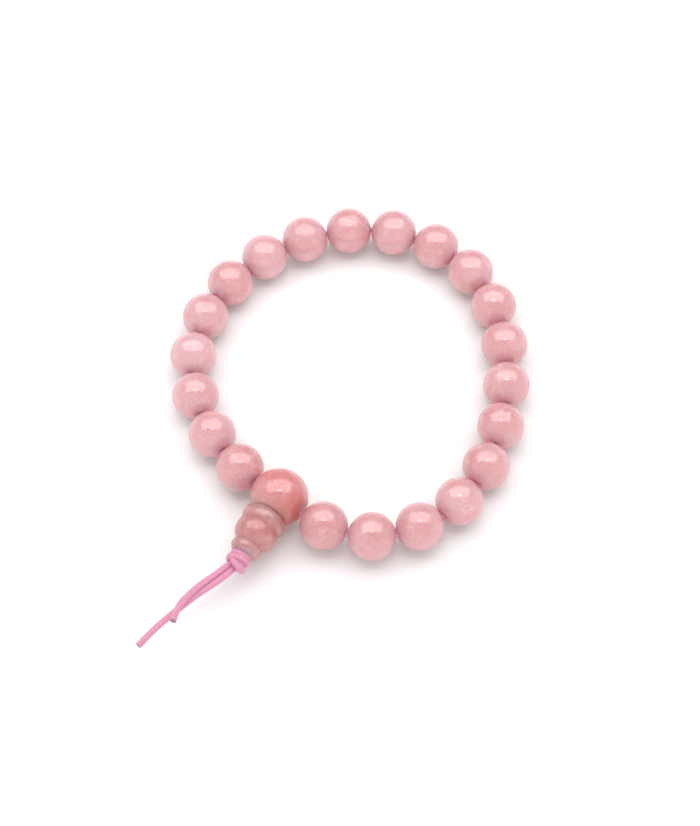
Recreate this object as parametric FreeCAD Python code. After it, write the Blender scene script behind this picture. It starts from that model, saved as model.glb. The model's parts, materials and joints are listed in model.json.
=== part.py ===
"""Wrist mala: a row of round rose quartz beads, a three-hole guru bead and a three-tier stupa bead on an
elastic cord, whose two ends meet inside the guru bead, run out through the stupa bead and are knotted.

Millimetres, +Z up. The mala lies on the plane z = 0 with its stupa bead towards -Y.
"""
import FreeCAD, Part
import math
import os
from FreeCAD import Rotation, Vector

# Round beads
BEAD_D = 8.0
BEAD_COUNT = 21
BEAD_BORE_D = 1.5
BEAD_GAP = 0.05             # between neighbours on the row
NEIGHBOUR_LIFT = 0.3        # share of the height step by which the taut string lifts the guru's neighbours

# Guru bead
GURU_D = 9.6
GURU_BORE_D = 2.6           # straight through along X, for the string
GURU_TAIL_BORE_D = 2.4      # third hole, towards -Y, for both cord ends
GURU_SLANT = 8.0            # degrees, from the guru bead's bore to the line between its two neighbours

# Every bore mouth is countersunk
MOUTH_WIDENING = 0.3

# Stupa bead, turned about its axis: distances from the rim of its seat, and radii
STUPA_SEAT_GAP = 0.1
STUPA_BORE_D = 2.1
STUPA_RIM_R = 3.2
STUPA_CRESTS = [(1.1, 3.8), (4.1, 3.6), (7.3, 2.6)]         # fullest place of each tier
STUPA_GROOVES = [(2.55, 3.35), (6.2, 2.4)]                  # between the tiers
STUPA_TIP = (8.35, 2.0)
STUPA_EDGE = 0.25           # rounding of the tip's rim

# Elastic cord
CORD_STRETCHED_D = 0.8      # inside the beads
CORD_D = 1.1                # relaxed, beyond the knot
LEG_GAP = 0.1               # between the two ends that run side by side
LEG_TURN_R = 0.9            # where each end turns from the cross bore into the third hole
STRING_ARC_SHARE = 0.21     # of a run, used by the arc at each of its ends
STRING_RELEASE = 2.5        # inside the guru bead's mouths, where the string leaves the axis of its bore
STRING_BIAS = 0.78          # at the guru bead's wide bore, the string lies this much nearer its neighbour's axis

# Knot and cut ends
KNOT_R = 1.9
KNOT_FACE = 1.35            # from the knot's centre to its two flat faces
KNOT_GAP = 0.1              # between the stupa bead's tip and the knot
TAIL_SPACING = 1.25
TAIL_HEADING = (-0.36, -0.93, 0.0)
TAIL_ARC_SHARE = 0.45

# Routes of the two cut ends after the knot, from the knot's centre. Each leaves its place on the knot's
# lower face along TAIL_HEADING, for its lead length.
LONG_LEAD = 3.6
LONG_ROUTE = [(-2.6, -8.1, 0.3), (-3.6, -11.4, 0.7), (-4.6, -14.7, 1.0), (-5.3, -17.5, 1.1), (-5.8, -20.2, 1.1)]
SHORT_LEAD = 2.7
SHORT_ROUTE = [(-3.3, -6.2, 0.7), (-4.2, -9.0, 1.7), (-4.1, -11.8, 2.4), (-2.8, -14.5, 2.8)]

# Poles of the closed smooth curve that the bead centres follow, seen from above. The guru bead sits at its
# start. The curve is scaled until the row of beads closes, and turned by GURU_SLANT.
LOOP_POLES = [(1, -21.5), (18, -25.5), (35.5, -5.5), (20, 35), (-9.5, 37), (-28, 14.5), (-24.5, -8.5), (-9.5, -19.5)]

BEAD_R = BEAD_D / 2
GURU_R = GURU_D / 2
CORD_STRETCHED_R = CORD_STRETCHED_D / 2
CORD_R = CORD_D / 2
LEG_X = (CORD_STRETCHED_D + LEG_GAP) / 2
LOOP_END_X = LEG_X + LEG_TURN_R         # where the string's two ends become the legs
STRING_STRAIGHT = GURU_R - STRING_RELEASE       # from the guru bead's centre
SEAT_R = GURU_R + STUPA_SEAT_GAP
RIM_DISTANCE = math.sqrt(SEAT_R ** 2 - STUPA_RIM_R ** 2)       # from the guru bead's centre
TIP_DISTANCE = RIM_DISTANCE + STUPA_TIP[0]


# Layout of the row ---------------------------------------------------------------------------------

def loop_point(t, scale):
    """Point at parameter t of the uniform cubic spline over LOOP_POLES; each pole counts for 1."""
    i = math.floor(t)
    u = t - i
    weights = [(1 - u) ** 3 / 6, (3 * u ** 3 - 6 * u ** 2 + 4) / 6, (-3 * u ** 3 + 3 * u ** 2 + 3 * u + 1) / 6,
               u ** 3 / 6]
    poles = [LOOP_POLES[(i - 1 + k) % len(LOOP_POLES)] for k in range(4)]
    x = sum(w * p[0] for w, p in zip(weights, poles))
    y = sum(w * p[1] for w, p in zip(weights, poles))
    return Vector(x, y, 0) * scale


def bisect(function, low, high):
    """Where a rising function crosses zero."""
    for _ in range(60):
        middle = (low + high) / 2
        if function(middle) < 0:
            low = middle
        else:
            high = middle
    return (low + high) / 2


def walk(steps, scale):
    """Bead centres at the given chord lengths along the curve from its start, and the end parameter."""
    t = 0.0
    centres = [loop_point(t, scale)]
    for step in steps:
        def shortfall(s):
            return (loop_point(s, scale) - centres[-1]).Length - step
        far = t
        while shortfall(far) < 0:
            far += 0.05
        t = bisect(shortfall, t, far)
        centres.append(loop_point(t, scale))
    return centres[:-1], t


def row_centres():
    """Centres of the guru bead and then of each round bead, counter-clockwise, before centring."""
    lift = NEIGHBOUR_LIFT * (GURU_R - BEAD_R)
    guru_step = math.sqrt((BEAD_R + GURU_R + BEAD_GAP) ** 2 - (GURU_R - BEAD_R - lift) ** 2)
    steps = [guru_step] + [BEAD_D + BEAD_GAP] * (BEAD_COUNT - 1) + [guru_step]
    samples = [loop_point(k / 20, 1) for k in range(20 * len(LOOP_POLES) + 1)]
    length = sum((b - a).Length for a, b in zip(samples, samples[1:]))
    guess = sum(steps) / length

    def closing_error(scale):
        return len(LOOP_POLES) - walk(steps, scale)[1]
    scale = bisect(closing_error, 0.9 * guess, 1.1 * guess)
    centres = walk(steps, scale)[0]
    across = centres[1] - centres[-1]
    turn = Rotation(Vector(0, 0, 1), -math.degrees(math.atan2(across.y, across.x)) - GURU_SLANT)
    centres = [turn.multVec(centre) for centre in centres]
    for index, centre in enumerate(centres):
        next_to_guru = index in (1, BEAD_COUNT)
        centre.z = GURU_R if index == 0 else BEAD_R + (lift if next_to_guru else 0)
    return centres


def centred(centres):
    """The row moved so that the box of beads, guru and stupa is centred on X = Y = 0."""
    radii = [GURU_R] + [BEAD_R] * BEAD_COUNT
    low_x = min(c.x - r for c, r in zip(centres, radii))
    high_x = max(c.x + r for c, r in zip(centres, radii))
    low_y = centres[0].y - TIP_DISTANCE
    high_y = max(c.y + r for c, r in zip(centres, radii))
    shift = Vector(-(low_x + high_x) / 2, -(low_y + high_y) / 2, 0)
    return [c + shift for c in centres]


def bore_directions(centres):
    """Each bead's bore lies along the chord between its two neighbours; the guru bead's along X."""
    directions = [Vector(1, 0, 0)]
    for index in range(1, len(centres)):
        ahead = centres[(index + 1) % len(centres)]
        directions.append((ahead - centres[index - 1]).normalize())
    return directions


# Solids --------------------------------------------------------------------------------------------

def bored(solid, centre, direction, length, bore_d):
    """Cut one bore from the centre outwards, with its countersunk mouth at the given length."""
    radius = bore_d / 2
    solid = solid.cut(Part.makeCylinder(radius, length + MOUTH_WIDENING, centre, direction))
    mouth_depth = length - math.sqrt(length ** 2 - (radius + MOUTH_WIDENING) ** 2) + MOUTH_WIDENING
    start = centre + direction * (length - mouth_depth)
    widening = MOUTH_WIDENING * 2
    cone = Part.makeCone(radius, radius + widening, mouth_depth - MOUTH_WIDENING + widening, start, direction)
    return solid.cut(cone)


def round_bead(centre, direction):
    bead = Part.makeSphere(BEAD_R, centre, direction)
    bead = bored(bead, centre, direction, BEAD_R, BEAD_BORE_D)
    return bored(bead, centre, -direction, BEAD_R, BEAD_BORE_D)


def guru_bead(centre):
    bead = Part.makeSphere(GURU_R, centre, Vector(1, 0, 0))
    bead = bored(bead, centre, Vector(1, 0, 0), GURU_R, GURU_BORE_D)
    bead = bored(bead, centre, Vector(-1, 0, 0), GURU_R, GURU_BORE_D)
    return bored(bead, centre, Vector(0, -1, 0), GURU_R, GURU_TAIL_BORE_D)


def stupa_bead(guru):
    """A turned bead: a hollow seat that fits the guru bead, three tiers and a narrow tip."""
    bore_r = STUPA_BORE_D / 2

    def at(distance, radius):
        return guru + Vector(radius, -RIM_DISTANCE - distance, 0)

    def on_seat(radius):
        return guru + Vector(radius, -math.sqrt(SEAT_R ** 2 - radius ** 2), 0)
    tip, tip_r = STUPA_TIP
    rim = at(0, STUPA_RIM_R)
    shoulder = at(tip - STUPA_EDGE, tip_r)
    grooves = [rim] + [at(*groove) for groove in STUPA_GROOVES] + [shoulder]
    edges = [Part.Arc(on_seat(bore_r), on_seat((bore_r + STUPA_RIM_R) / 2), rim).toShape()]
    for start, crest, end in zip(grooves, STUPA_CRESTS, grooves[1:]):
        edges.append(Part.Arc(start, at(*crest), end).toShape())
    bend = STUPA_EDGE / math.sqrt(2)
    on_edge = at(tip - STUPA_EDGE + bend, tip_r - STUPA_EDGE + bend)
    tip_face = at(tip, tip_r - STUPA_EDGE)
    edges.append(Part.Arc(shoulder, on_edge, tip_face).toShape())
    mouth = at(tip, bore_r + MOUTH_WIDENING)
    throat = at(tip - MOUTH_WIDENING, bore_r)
    for start, end in ((tip_face, mouth), (mouth, throat), (throat, on_seat(bore_r))):
        edges.append(Part.makeLine(start, end))
    face = Part.Face(Part.Wire(edges))
    return face.revolve(guru, Vector(0, 1, 0), 360)


def rounded_path(points, arc_share):
    """Straight runs joined by tangent arcs, whose radii are as large as each corner's shorter run allows."""
    edges = []
    radii = []
    start = points[0]
    for before, corner, after in zip(points, points[1:], points[2:]):
        incoming = (corner - before).normalize()
        outgoing = (after - corner).normalize()
        half_turn = incoming.getAngle(outgoing) / 2
        tangent = arc_share * min((corner - before).Length, (after - corner).Length)
        radius = tangent / math.tan(half_turn)
        inward = (outgoing - incoming).normalize()
        arc_start = corner - incoming * tangent
        arc_end = corner + outgoing * tangent
        middle = corner + inward * (radius / math.cos(half_turn) - radius)
        edges.append(Part.LineSegment(start, arc_start).toShape())
        edges.append(Part.Arc(arc_start, middle, arc_end).toShape())
        radii.append(radius)
        start = arc_end
    edges.append(Part.LineSegment(start, points[-1]).toShape())
    return Part.Wire(edges), radii


def tube(path, radius):
    """A round cord along a path of lines and tangent arcs."""
    first = path.OrderedEdges[0]
    start = first.valueAt(first.FirstParameter)
    heading = first.tangentAt(first.FirstParameter)
    section = Part.Wire([Part.makeCircle(radius, start, heading)])
    solid = path.makePipeShell([section], True, False)
    exact = math.pi * radius ** 2 * path.Length
    print("  path %.2f, volume %.3f, section x length %.3f" % (path.Length, solid.Volume, exact))
    return solid


def elastic_loop(centres, directions):
    """The string: from the guru bead round the row and back, on the bores' axes, bending between beads."""
    radii = [GURU_R] + [BEAD_R] * BEAD_COUNT
    guru = centres[0]
    points = [guru + Vector(LOOP_END_X, 0, 0), guru + Vector(STRING_STRAIGHT, 0, 0)]
    for index in range(len(centres)):
        ahead = (index + 1) % len(centres)
        leaving = centres[index] + directions[index] * radii[index]
        entering = centres[ahead] - directions[ahead] * radii[ahead]
        share = {0: STRING_BIAS, BEAD_COUNT: 1 - STRING_BIAS}.get(index, 0.5)
        points.append(leaving * (1 - share) + entering * share)
    points += [guru - Vector(STRING_STRAIGHT, 0, 0), guru - Vector(LOOP_END_X, 0, 0)]
    path, bends = rounded_path(points, STRING_ARC_SHARE)
    print("elastic_loop: smallest bend radius %.2f" % min(bends))
    return tube(path, CORD_STRETCHED_R)


def elastic_leg(guru, side):
    """One cord end, from the cross bore through the third hole and the stupa bead to the knot."""
    turn = LEG_TURN_R
    start = guru + Vector(side * LOOP_END_X, 0, 0)
    centre = start + Vector(0, -turn, 0)
    diagonal = turn / math.sqrt(2)
    middle = centre + Vector(-side * diagonal, diagonal, 0)
    end = guru + Vector(side * LEG_X, -turn, 0)
    far = guru + Vector(side * LEG_X, -(TIP_DISTANCE + KNOT_GAP), 0)
    path = Part.Wire([Part.Arc(start, middle, end).toShape(), Part.LineSegment(end, far).toShape()])
    print("elastic leg: bend radius %.2f" % turn)
    return tube(path, CORD_STRETCHED_R)


def knot_centre(guru):
    return guru - Vector(0, TIP_DISTANCE + KNOT_GAP + KNOT_FACE, 0)


def knot(guru):
    """The double knot's outer shape: a ball with a flat face where the legs enter and one for the tails."""
    centre = knot_centre(guru)
    heading = Vector(*TAIL_HEADING).normalize()
    ball = Part.makeSphere(KNOT_R, centre)
    for normal in (Vector(0, 1, 0), heading):
        slab = Part.makeCylinder(2 * KNOT_R, KNOT_R, centre + normal * KNOT_FACE, normal)
        ball = ball.cut(slab)
    return ball


def tail(guru, side, lead_length, route, name):
    """One cut end, from its place on the knot's lower face along its route; side is the place, -1 or 1."""
    heading = Vector(*TAIL_HEADING).normalize()
    across = heading.cross(Vector(0, 0, 1))
    centre = knot_centre(guru)
    start = centre + heading * KNOT_FACE + across * (side * TAIL_SPACING / 2)
    points = [start, start + heading * lead_length] + [centre + Vector(*point) for point in route]
    path, bends = rounded_path(points, TAIL_ARC_SHARE)
    print("%s: bend radii %s" % (name, ", ".join("%.1f" % r for r in bends)))
    export(tube(path, CORD_R), name)


def export(shape, name):
    solids = len(shape.Solids)
    print("%s: %d solid, volume %.2f, valid %s" % (name, solids, shape.Volume, shape.isValid()))
    shape.exportStep("parts/%s.step" % name)


def main():
    os.makedirs("parts", exist_ok=True)
    centres = centred(row_centres())
    directions = bore_directions(centres)
    guru = centres[0]
    print("guru centre", guru)
    for index in range(1, BEAD_COUNT + 1):
        print("bead_%02d centre" % index, centres[index], "bore", directions[index])
        export(round_bead(centres[index], directions[index]), "bead_%02d" % index)
    export(guru_bead(guru), "guru_bead")
    export(stupa_bead(guru), "stupa_bead")
    export(elastic_loop(centres, directions), "elastic_loop")
    export(elastic_leg(guru, -1), "leg_left")
    export(elastic_leg(guru, 1), "leg_right")
    export(knot(guru), "knot")
    tail(guru, -1, LONG_LEAD, LONG_ROUTE, "tail_long")
    tail(guru, 1, SHORT_LEAD, SHORT_ROUTE, "tail_short")


main()
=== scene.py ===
"""Rose quartz wrist mala on a pale studio floor. Metres, in the CAD frame; the cord and stone details are
written in millimetres and scaled by MM."""
import json
import math
import bpy
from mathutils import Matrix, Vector


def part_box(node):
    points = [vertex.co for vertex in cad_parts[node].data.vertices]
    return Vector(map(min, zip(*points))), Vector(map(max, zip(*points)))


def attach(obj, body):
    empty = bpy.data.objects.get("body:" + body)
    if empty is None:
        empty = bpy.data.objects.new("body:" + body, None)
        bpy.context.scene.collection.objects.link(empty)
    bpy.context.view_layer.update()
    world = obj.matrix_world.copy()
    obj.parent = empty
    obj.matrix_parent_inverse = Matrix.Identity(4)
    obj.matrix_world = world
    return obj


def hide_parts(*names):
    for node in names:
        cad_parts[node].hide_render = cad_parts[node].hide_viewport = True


MM = 0.001

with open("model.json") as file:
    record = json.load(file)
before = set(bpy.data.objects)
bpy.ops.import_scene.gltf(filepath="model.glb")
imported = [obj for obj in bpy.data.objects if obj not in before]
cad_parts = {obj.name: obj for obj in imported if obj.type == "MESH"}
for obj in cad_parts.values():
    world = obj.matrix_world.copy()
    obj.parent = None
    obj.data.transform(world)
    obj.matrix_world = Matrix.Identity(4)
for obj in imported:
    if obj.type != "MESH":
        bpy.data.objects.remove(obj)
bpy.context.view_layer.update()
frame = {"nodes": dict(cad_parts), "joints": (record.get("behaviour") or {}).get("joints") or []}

# Camera
CAMERA_AZIMUTH = math.radians(29.4)
CAMERA_ELEVATION = math.radians(61)
CAMERA_DISTANCE = 0.3146
CAMERA_TARGET = Vector((0.00223, -0.00264, 0))
CAMERA_LENS = 79.9

# Studio: a wide soft box overhead and behind, as the camera sees it, with a brighter core near its front edge
BOX_TILT = math.radians(21)         # from straight up, away from the camera
BOX_DISTANCE = 0.5
BOX_SIZE = (1.0, 0.51)
BOX_POWER = 3.2
CORE_TILT = math.radians(-2)
CORE_DISTANCE = 0.45
CORE_SIZE = (0.11, 0.07)
CORE_POWER = 0.09
TENT_TILT = math.radians(40)        # the white walls are dimmest in this direction, tilted as the boxes are
TENT_STRENGTH = (1.25, 0.35)        # of the walls, from in front of the object round to beside the box
TENT_SPAN = (-0.5, 0.9)             # cosines of the angle from that direction between which the strength changes
FLOOR_ALBEDO = 0.93
FLOOR_SIDE = 3.0
FLOOR_GLOW_REACH = (0.12, 0.5)      # from here out the floor is lifted to white where a camera or reflection sees it

# Quartz: (deep, pale) colours of the round beads; each bead lies between them by its own tone
DEEP_ROSE = (0.57, 0.25, 0.26)
PALE_ROSE = (0.68, 0.42, 0.45)
BEAD_TONES = [0.15, 0.35, 0.45, 0.55, 0.3, 0.35, 0.5, 0.3, 0.35, 0.35, 0.4, 0.45, 0.3, 0.45, 0.75, 0.4, 0.55, 0.95,
              0.65, 0.65, 0.15]
GURU_COLOURS = ((0.57, 0.18, 0.165), (0.63, 0.28, 0.28))
STUPA_COLOURS = ((0.60, 0.20, 0.19), (0.68, 0.30, 0.29))

# Millimetres and colours of the stone's details
BEAD_BORE_RADIUS = 0.75
GURU_BORE_RADIUS = 1.3
STUPA_BORE_RADIUS = 1.05
PAINTED_BORE_GLOW = (1.0, 0.40, 0.52)       # painted light: a pink glow round the bore, standing for light and the cord seen through the stone where beads meet
PAINTED_BORE_GLOW_REACH = 1.9
DRILLED_RIM = (0.95, 0.78, 0.78)
GRAIN = (1.0, 0.90, 0.90)
CRACK = (1.0, 0.86, 0.86)
CRACK_STRENGTH = 0.14
QUARTZ_IOR = 1.54
POLISH_RELIEF = 0.004
SCATTER_DEPTH = 8.0                 # how far light travels in the stone, and the share of it for red, green, blue
SCATTER_COLOUR = (1.0, 0.55, 0.55)

# Spots in the stone: (place, radius, colour), the place from the piece's centre
BEAD_20_SPECK = ((0.2, -1.2, 3.8), 0.22, (0.25, 0.12, 0.12))
GURU_CLOUD = ((3.9, -2.5, 1.4), 4.6, (0.54, 0.12, 0.10))
STUPA_SPECK = ((0.759, -2.612, 2.8), 0.45, (0.40, 0.06, 0.04))

# Elastic cord: relief of its braided sheath, and its cut ends
CORD_RADIUS = 0.55
CORD_SIDES = 30
CORD_STEP = 0.07
BRAID_STRANDS = 6           # each way round
BRAID_PITCH = 0.42          # along the cord, from one strand to the next
BRAID_RELIEF = 0.035

# The two ends after the stupa bead: the knot's centre, then each tail's run. The long one is the CAD's; the short
# one leans in against it before it crosses over.
KNOT_CENTRE = Vector((1.191, -37.913, 4.8))
KNOT_HALF = 1.45            # from the knot's centre back to the stupa bead's tip
LONG_TAIL = [(1.286, -39.397, 4.8), (-0.013, -42.754, 4.8), (-1.409, -46.013, 5.1), (-2.409, -49.313, 5.5),
             (-3.409, -52.613, 5.8), (-4.109, -55.413, 5.9), (-4.609, -58.113, 5.9)]
SHORT_TAIL = [(0.25, -38.946, 5.0), (-0.62, -41.464, 5.0), (-1.6, -44.113, 5.55), (-2.2, -46.913, 6.15),
              (-2.5, -49.713, 6.9), (-1.609, -52.413, 7.6)]

# Turns of each end inside the knot: angle round its axis from the top, towards +X; radius; distance from the tip
LONG_TURNS = [(90, 0.45, -0.3), (0, 0.4, 0.4), (-40, 0.7, 0.9), (0, 0.9, 1.3), (50, 1.1, 1.7), (100, 1.3, 2.0),
              (150, 1.4, 2.0), (200, 1.5, 1.8), (250, 1.6, 1.5), (290, 1.6, 1.25), (335, 1.6, 1.1), (380, 1.6, 1.0),
              (425, 1.6, 0.9), (470, 1.5, 0.9), (515, 1.2, 1.0), (560, 0.8, 1.4)]
SHORT_TURNS = [(-90, 0.45, -0.3), (-40, 0.5, 0.4), (-60, 0.9, 0.9), (-35, 1.1, 1.5), (0, 1.3, 2.1), (45, 1.4, 2.5),
               (90, 1.5, 2.4), (140, 1.5, 2.0), (190, 1.5, 1.3), (240, 1.5, 0.7), (290, 1.4, 0.3), (335, 1.4, 0.25),
               (380, 1.4, 0.2), (425, 1.4, 0.1), (470, 1.2, 0.3), (520, 0.9, 0.9), (590, 0.8, 1.5)]


# Camera and studio -----------------------------------------------------------------------------------

def linked(obj):
    bpy.context.scene.collection.objects.link(obj)
    return obj


def make_camera():
    data = bpy.data.cameras.new("camera")
    data.lens = CAMERA_LENS
    data.clip_start = 0.01
    data.clip_end = 10
    camera = linked(bpy.data.objects.new("camera", data))
    back = Vector((math.sin(CAMERA_AZIMUTH) * math.cos(CAMERA_ELEVATION),
                   -math.cos(CAMERA_AZIMUTH) * math.cos(CAMERA_ELEVATION),
                   math.sin(CAMERA_ELEVATION)))
    camera.location = CAMERA_TARGET + back * CAMERA_DISTANCE
    camera.rotation_euler = (-back).to_track_quat("-Z", "Y").to_euler()
    bpy.context.scene.camera = camera


def away(tilt):
    """Direction tilted from straight up, away from the camera."""
    return Vector((-math.sin(CAMERA_AZIMUTH) * math.sin(tilt), math.cos(CAMERA_AZIMUTH) * math.sin(tilt),
                   math.cos(tilt)))


def area_light(name, tilt, distance, size, power):
    """A rectangular lamp over the origin, square to the camera's view and tilted away from it."""
    data = bpy.data.lights.new(name, "AREA")
    data.shape = "RECTANGLE"
    data.size, data.size_y = size
    data.energy = power
    light = linked(bpy.data.objects.new(name, data))
    light.location = away(tilt) * distance
    light.rotation_euler = (-tilt, 0, CAMERA_AZIMUTH)


def new_material(name):
    """A node material and its tree, with the Principled shader in it."""
    material = bpy.data.materials.new(name)
    material.use_nodes = True
    tree = material.node_tree
    return material, tree, tree.nodes["Principled BSDF"]


def make_floor():
    mesh = bpy.data.meshes.new("floor")
    half = FLOOR_SIDE / 2
    mesh.from_pydata([(-half, -half, 0), (half, -half, 0), (half, half, 0), (-half, half, 0)], [], [(0, 1, 2, 3)])
    material, tree, shader = new_material("floor")
    shader.inputs["Base Color"].default_value = (FLOOR_ALBEDO, FLOOR_ALBEDO, FLOOR_ALBEDO, 1)
    shader.inputs["Roughness"].default_value = 0.9
    shader.inputs["Specular IOR Level"].default_value = 0.1
    path = tree.nodes.new("ShaderNodeLightPath")
    seen = math_node(tree, "MAXIMUM", path.outputs["Is Camera Ray"], path.outputs["Is Glossy Ray"])
    seen = math_node(tree, "MAXIMUM", seen, path.outputs["Is Transmission Ray"])
    shader.inputs["Emission Color"].default_value = (1, 1, 1, 1)
    place = tree.nodes.new("ShaderNodeTexCoord").outputs["Object"]
    far = ramp(tree, vector_node(tree, "LENGTH", place, (0, 0, 0)), *FLOOR_GLOW_REACH)
    feed(tree, shader.inputs["Emission Strength"], math_node(tree, "MULTIPLY", seen, far))
    mesh.materials.append(material)
    linked(bpy.data.objects.new("floor", mesh))


def make_studio():
    area_light("soft_box", BOX_TILT, BOX_DISTANCE, BOX_SIZE, BOX_POWER)
    area_light("soft_box_core", CORE_TILT, CORE_DISTANCE, CORE_SIZE, CORE_POWER)
    world = bpy.data.worlds.new("studio")
    world.use_nodes = True
    background = world.node_tree.nodes["Background"]
    background.inputs["Color"].default_value = (1, 1, 1, 1)
    tree = world.node_tree
    direction = tree.nodes.new("ShaderNodeTexCoord").outputs["Generated"]
    toward_box = vector_node(tree, "DOT_PRODUCT", direction, away(TENT_TILT))
    walls = ramp(tree, toward_box, *TENT_SPAN, *TENT_STRENGTH)
    seen = tree.nodes.new("ShaderNodeLightPath").outputs["Is Camera Ray"]
    feed(tree, background.inputs["Strength"], math_node(tree, "MAXIMUM", walls, seen))
    bpy.context.scene.world = world
    make_floor()


# Shader building blocks ------------------------------------------------------------------------------

def feed(tree, socket, value):
    """Links an output to a socket, or sets it to a constant."""
    if isinstance(value, bpy.types.NodeSocket):
        tree.links.new(value, socket)
    else:
        socket.default_value = value


def math_node(tree, operation, a, b=0.0, clamp=False):
    node = tree.nodes.new("ShaderNodeMath")
    node.operation = operation
    node.use_clamp = clamp
    feed(tree, node.inputs[0], a)
    feed(tree, node.inputs[1], b)
    return node.outputs[0]


def vector_node(tree, operation, a, b):
    node = tree.nodes.new("ShaderNodeVectorMath")
    node.operation = operation
    feed(tree, node.inputs[0], a)
    feed(tree, node.inputs[1], b)
    return node.outputs["Value" if operation in ("DOT_PRODUCT", "LENGTH") else "Vector"]


def ramp(tree, value, low, high, out_low=0.0, out_high=1.0):
    """value between low and high, mapped smoothly to between out_low and out_high."""
    node = tree.nodes.new("ShaderNodeMapRange")
    node.interpolation_type = "SMOOTHSTEP"
    feed(tree, node.inputs["Value"], value)
    node.inputs["From Min"].default_value = low
    node.inputs["From Max"].default_value = high
    node.inputs["To Min"].default_value = out_low
    node.inputs["To Max"].default_value = out_high
    return node.outputs["Result"]


def mix(tree, factor, a, b, blend="MIX"):
    node = tree.nodes.new("ShaderNodeMix")
    node.data_type = "RGBA"
    node.blend_type = blend
    feed(tree, node.inputs[0], factor)
    feed(tree, node.inputs[6], a if isinstance(a, bpy.types.NodeSocket) else (*a, 1))
    feed(tree, node.inputs[7], b if isinstance(b, bpy.types.NodeSocket) else (*b, 1))
    return node.outputs[2]


def noise(tree, place, scale, detail=2.0, roughness=0.5, distortion=0.0):
    node = tree.nodes.new("ShaderNodeTexNoise")
    feed(tree, node.inputs["Vector"], place)
    node.inputs["Scale"].default_value = scale
    node.inputs["Detail"].default_value = detail
    node.inputs["Roughness"].default_value = roughness
    node.inputs["Distortion"].default_value = distortion
    return node.outputs["Fac"]


def bump(tree, height, distance, strength=1.0):
    node = tree.nodes.new("ShaderNodeBump")
    node.inputs["Distance"].default_value = distance
    node.inputs["Strength"].default_value = strength
    feed(tree, node.inputs["Height"], height)
    return node.outputs["Normal"]


def millimetres(tree, centre):
    """Place on the piece, in millimetres from centre (metres)."""
    coordinates = tree.nodes.new("ShaderNodeTexCoord").outputs["Object"]
    node = tree.nodes.new("ShaderNodeVectorMath")
    node.operation = "SCALE"
    feed(tree, node.inputs[0], vector_node(tree, "SUBTRACT", coordinates, centre))
    node.inputs["Scale"].default_value = 1 / MM
    return node.outputs["Vector"]


def axis_distance(tree, place, axis):
    """Distance in millimetres from the line through the centre along axis."""
    along = vector_node(tree, "DOT_PRODUCT", place, axis)
    squared = vector_node(tree, "DOT_PRODUCT", place, place)
    rest = math_node(tree, "SUBTRACT", squared, math_node(tree, "MULTIPLY", along, along))
    return math_node(tree, "SQRT", math_node(tree, "MAXIMUM", rest, 0.0))


# Quartz ----------------------------------------------------------------------------------------------

def quartz(name, colours, centre, axis, bore_radius, seed, haze, spots=(), clear=0.0):
    """Cloudy polished quartz between two colours: soft clouds, healed cracks, painted light round its bore (a pink
    glow standing for light and the cord seen through the stone), a whitish ground rim where the drill came through,
    and spots. centre is the piece's, in the row frame, and axis the bore's direction; bore_radius is in millimetres."""
    material, tree, shader = new_material(name)
    place = millimetres(tree, centre)
    shifted = vector_node(tree, "ADD", place, (seed * 17.0, seed * 9.0, seed * 5.0))

    clouds = ramp(tree, noise(tree, shifted, 0.22, 3, 0.55, 0.8), 0.32, 0.68)
    colour = mix(tree, math_node(tree, "MULTIPLY", clouds, haze), *colours)
    grain = ramp(tree, noise(tree, shifted, 2.6, 3, 0.6), 0.3, 0.7, 0.0, 0.10)
    colour = mix(tree, grain, colour, GRAIN)

    crack = math_node(tree, "ABSOLUTE", math_node(tree, "SUBTRACT", noise(tree, shifted, 0.16, 2, 0.5, 1.6), 0.5))
    crack = ramp(tree, crack, 0.0, 0.03, 1.0, 0.0)
    patch = ramp(tree, noise(tree, shifted, 0.3, 1), 0.5, 0.62)
    shown = math_node(tree, "MULTIPLY", math_node(tree, "MULTIPLY", crack, patch), CRACK_STRENGTH)
    colour = mix(tree, shown, colour, CRACK)

    distance = axis_distance(tree, place, axis)
    # painted light: pinker and brighter near the bore, as if light and the cord showed through the stone
    colour = mix(tree, ramp(tree, distance, bore_radius, bore_radius + PAINTED_BORE_GLOW_REACH, 0.6, 0.0), colour, PAINTED_BORE_GLOW)
    colour = mix(tree, ramp(tree, distance, bore_radius + 0.02, bore_radius + 0.3, 0.4, 0.0), colour, DRILLED_RIM)
    for spot_place, radius, spot_colour in spots:
        offset = vector_node(tree, "SUBTRACT", place, spot_place)
        spot = ramp(tree, vector_node(tree, "LENGTH", offset, (0, 0, 0)), 0.4 * radius, radius, 1.0, 0.0)
        colour = mix(tree, math_node(tree, "MULTIPLY", spot, 0.85), colour, spot_colour)

    polish = noise(tree, shifted, 0.9, 3, 0.6)
    feed(tree, shader.inputs["Base Color"], colour)
    feed(tree, shader.inputs["Roughness"], ramp(tree, polish, 0.3, 0.7, 0.07, 0.12))
    feed(tree, shader.inputs["Normal"], bump(tree, polish, POLISH_RELIEF * MM))
    shader.inputs["Transmission Weight"].default_value = clear
    shader.inputs["IOR"].default_value = QUARTZ_IOR
    shader.inputs["Specular IOR Level"].default_value = 1
    shader.inputs["Subsurface Weight"].default_value = 1
    shader.inputs["Subsurface Radius"].default_value = SCATTER_COLOUR
    shader.inputs["Subsurface Scale"].default_value = SCATTER_DEPTH * MM
    return material


def blend_colours(low, high, share):
    return tuple(a + (b - a) * share for a, b in zip(low, high))


def node_centre(name):
    low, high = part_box(name)
    return (low + high) / 2


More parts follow.
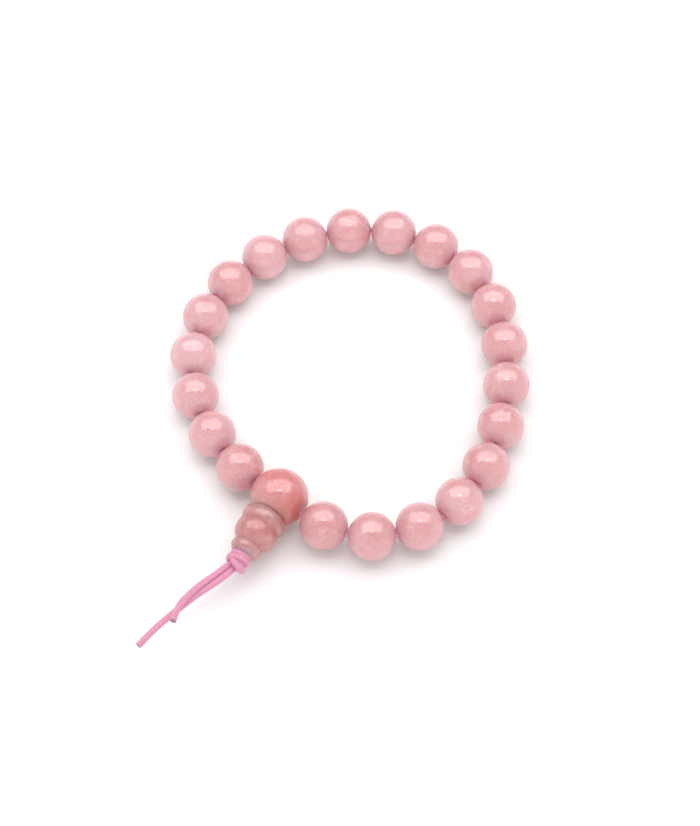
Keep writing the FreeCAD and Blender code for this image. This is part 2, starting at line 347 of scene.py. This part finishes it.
def finish_stones():
    joints = {joint["name"]: joint for joint in frame["joints"]}
    for index, tone in enumerate(BEAD_TONES, 1):
        name = f"bead_{index:02d}"
        base = blend_colours(DEEP_ROSE, PALE_ROSE, tone)
        colours = (blend_colours(base, DEEP_ROSE, 0.35), blend_colours(base, PALE_ROSE, 0.5))
        axis = Vector(joints[name + "_spin"]["axis"]).normalized()
        spots = [BEAD_20_SPECK] if name == "bead_20" else []
        repaint(name, quartz(f"rose_quartz_{index:02d}", colours, node_centre(name), axis, BEAD_BORE_RADIUS, index,
                             0.8, spots))
    repaint("guru_bead", quartz("guru_quartz", GURU_COLOURS, node_centre("guru_bead"), (1, 0, 0), GURU_BORE_RADIUS,
                                31, 0.9, [GURU_CLOUD]))
    repaint("stupa_bead", quartz("stupa_quartz", STUPA_COLOURS, node_centre("stupa_bead"), (0, 1, 0),
                                 STUPA_BORE_RADIUS, 47, 1.0, [STUPA_SPECK], clear=0.25))


def repaint(name, material):
    slots = frame["nodes"][name].data.materials
    slots.clear()
    slots.append(material)


# Elastic cord ----------------------------------------------------------------------------------------

def sheath_material():
    """Braided synthetic sheath: pale pink strands, with painted shade in deeper pink in the gaps between them, and a
    soft sheen.
    """
    material, tree, shader = new_material("elastic_sheath")
    place = millimetres(tree, Vector((0, 0, 0)))
    attribute = tree.nodes.new("ShaderNodeAttribute")
    attribute.attribute_name = "strand_height_shade"
    # painted shade: the colour deepens to a darker pink in the gaps between strands, by each vertex's strand height,
    # with fibre noise mixed in
    fibre = noise(tree, place, 9.0, 2, 0.6)
    high = math_node(tree, "ADD", attribute.outputs["Fac"], math_node(tree, "MULTIPLY", fibre, 0.3))
    colour = mix(tree, ramp(tree, high, 0.15, 1.0), (0.34, 0.07, 0.15), (0.74, 0.31, 0.46))
    feed(tree, shader.inputs["Base Color"], colour)
    feed(tree, shader.inputs["Normal"], bump(tree, fibre, 0.02 * MM, 0.6))
    shader.inputs["Roughness"].default_value = 0.55
    shader.inputs["Subsurface Weight"].default_value = 0.15
    shader.inputs["Subsurface Radius"].default_value = (1.0, 0.4, 0.6)
    shader.inputs["Subsurface Scale"].default_value = 0.4 * MM
    shader.inputs["Sheen Weight"].default_value = 0.3
    return material


def stretched_material():
    """The same sheath, stretched thin and smooth inside the beads."""
    material, tree, shader = new_material("elastic_stretched")
    place = millimetres(tree, Vector((0, 0, 0)))
    fibre = noise(tree, place, 5.0, 3, 0.7)
    colour = mix(tree, ramp(tree, fibre, 0.3, 0.7), (0.80, 0.32, 0.45), (0.92, 0.48, 0.60))
    feed(tree, shader.inputs["Base Color"], colour)
    feed(tree, shader.inputs["Normal"], bump(tree, fibre, 0.02 * MM, 0.6))
    shader.inputs["Roughness"].default_value = 0.5
    return material


def rubber_material():
    """Cut face of the rubber core."""
    material, tree, shader = new_material("elastic_core")
    grain = noise(tree, millimetres(tree, Vector((0, 0, 0))), 7.0, 3, 0.6)
    feed(tree, shader.inputs["Base Color"], mix(tree, ramp(tree, grain, 0.3, 0.7), (0.28, 0.15, 0.14),
                                                (0.50, 0.32, 0.30)))
    feed(tree, shader.inputs["Normal"], bump(tree, grain, 0.04 * MM))
    shader.inputs["Roughness"].default_value = 0.8
    return material


def knot_point(angle, radius, distance):
    """Place in the row frame, in millimetres, of a turn's point inside the knot."""
    a = math.radians(angle)
    return KNOT_CENTRE + Vector((radius * math.sin(a), KNOT_HALF - distance, radius * math.cos(a)))


def smooth_line(name, points):
    """The NURBS line that has these points, in millimetres, as its control points; metres."""
    data = bpy.data.curves.new(name, "CURVE")
    data.dimensions = "3D"
    spline = data.splines.new("NURBS")
    spline.points.add(len(points) - 1)
    for slot, point in zip(spline.points, points):
        slot.co = (*(Vector(point) * MM), 1)
    spline.order_u = 3
    spline.use_endpoint_u = True
    spline.resolution_u = 24
    holder = linked(bpy.data.objects.new(name, data))
    mesh = bpy.data.meshes.new_from_object(holder)
    line = [v.co.copy() for v in mesh.vertices]
    bpy.data.objects.remove(holder)
    bpy.data.meshes.remove(mesh)
    return line


def evenly(line, step):
    """Points along a line at an even spacing near step, both ends included."""
    lengths = [0.0]
    for a, b in zip(line, line[1:]):
        lengths.append(lengths[-1] + (b - a).length)
    count = round(lengths[-1] / step)
    points = []
    k = 0
    for i in range(count + 1):
        target = lengths[-1] * i / count
        while k < len(line) - 2 and lengths[k + 1] < target:
            k += 1
        share = (target - lengths[k]) / (lengths[k + 1] - lengths[k])
        points.append(line[k].lerp(line[k + 1], min(max(share, 0), 1)))
    return points


def braid(turn, along):
    """Height, 0 to 1, of a braided sheath: two families of strands that pass over and under each other."""
    a = BRAID_STRANDS * turn + along / BRAID_PITCH
    b = BRAID_STRANDS * turn - along / BRAID_PITCH
    over = 0.5 + 0.5 * math.cos(math.pi * (math.floor(a) + math.floor(b)))
    first = math.sin(math.pi * (a % 1))
    second = math.sin(math.pi * (b % 1))
    return max(first * (0.75 + 0.25 * over), second * (1 - 0.25 * over))


def braided_tube(name, line):
    """A mesh of the sheathed cord along line, with its cut end face: sheath rim and rubber core."""
    step = CORD_STEP * MM
    centres = evenly(line, step)
    vertices, faces, strand_height_shade, core_faces = [], [], [], []
    side = (centres[1] - centres[0]).orthogonal().normalized()

    def ring(centre, u, v, radius_at, strand_height_shade_at):
        for j in range(CORD_SIDES):
            turn = j / CORD_SIDES
            a = 2 * math.pi * turn
            vertices.append(centre + (u * math.cos(a) + v * math.sin(a)) * radius_at(turn) * MM)
            strand_height_shade.append(strand_height_shade_at(turn))

    for i, centre in enumerate(centres):
        heading = (centres[min(i + 1, len(centres) - 1)] - centres[max(i - 1, 0)]).normalized()
        side = (side - heading * side.dot(heading)).normalized()
        other = heading.cross(side)
        along = i * CORD_STEP
        ring(centre, side, other, lambda turn: CORD_RADIUS - BRAID_RELIEF * (1 - braid(turn, along)),
             lambda turn: braid(turn, along))
    # rounded rim of the cut sheath, its flat, then the core, a little proud of it
    # the third number is the strand height that sets the sheath's painted shade, deeper towards the core
    for inward, out, height in ((0.04, 0.05, 0.6), (0.12, 0.07, 0.5), (0.3, 0.06, 0.2), (0.38, 0.0, 0.0)):
        ring(centre + heading * out * MM, side, other,
             lambda turn: CORD_RADIUS * (1 - inward) + 0.015 * math.sin(2 * math.pi * 11 * turn),
             lambda turn: height)
    rows = len(vertices) // CORD_SIDES
    for inward, out in ((0.4, 0.05), (0.75, 0.09)):
        ring(centre + heading * out * MM, side, other, lambda turn: CORD_RADIUS * (1 - inward), lambda turn: 0.0)
    vertices.append(centre + heading * 0.09 * MM)
    strand_height_shade.append(0.0)
    total = (len(vertices) - 1) // CORD_SIDES
    for r in range(total - 1):
        for j in range(CORD_SIDES):
            k = (j + 1) % CORD_SIDES
            faces.append((r * CORD_SIDES + j, r * CORD_SIDES + k, (r + 1) * CORD_SIDES + k, (r + 1) * CORD_SIDES + j))
            core_faces.append(r >= rows - 1)
    last = (total - 1) * CORD_SIDES
    for j in range(CORD_SIDES):
        faces.append((last + j, last + (j + 1) % CORD_SIDES, len(vertices) - 1))
        core_faces.append(True)
    faces.append(tuple(reversed(range(CORD_SIDES))))
    core_faces.append(False)

    mesh = bpy.data.meshes.new(name)
    mesh.from_pydata(vertices, [], faces)
    mesh.materials.append(SHEATH)
    mesh.materials.append(RUBBER)
    # strand height per vertex, which the sheath material turns into painted shade in the gaps
    mesh.attributes.new("strand_height_shade", "FLOAT", "POINT").data.foreach_set("value", strand_height_shade)
    for polygon, core in zip(mesh.polygons, core_faces):
        polygon.use_smooth = True
        polygon.material_index = 1 if core else 0
    return linked(bpy.data.objects.new(name, mesh)), centres


def make_cords():
    """Both ends of the cord, each from the stupa bead's tip, through its turns in the knot, to its cut end."""
    for name, turns, tail, nodes in (("cord_long", LONG_TURNS, LONG_TAIL, ("tail_long", "knot")),
                                     ("cord_short", SHORT_TURNS, SHORT_TAIL, ("tail_short",))):
        points = [knot_point(*turn) for turn in turns] + [Vector(point) for point in tail]
        cord, centres = braided_tube(name, smooth_line(name, points))
        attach(cord, "guru")
        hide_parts(*nodes)


make_camera()
SHEATH = sheath_material()
RUBBER = rubber_material()
make_cords()
make_studio()
finish_stones()
STRETCHED = stretched_material()
for cord_node in ("elastic_loop", "leg_left", "leg_right"):
    repaint(cord_node, STRETCHED)

bpy.context.scene.view_settings.view_transform = "Standard"
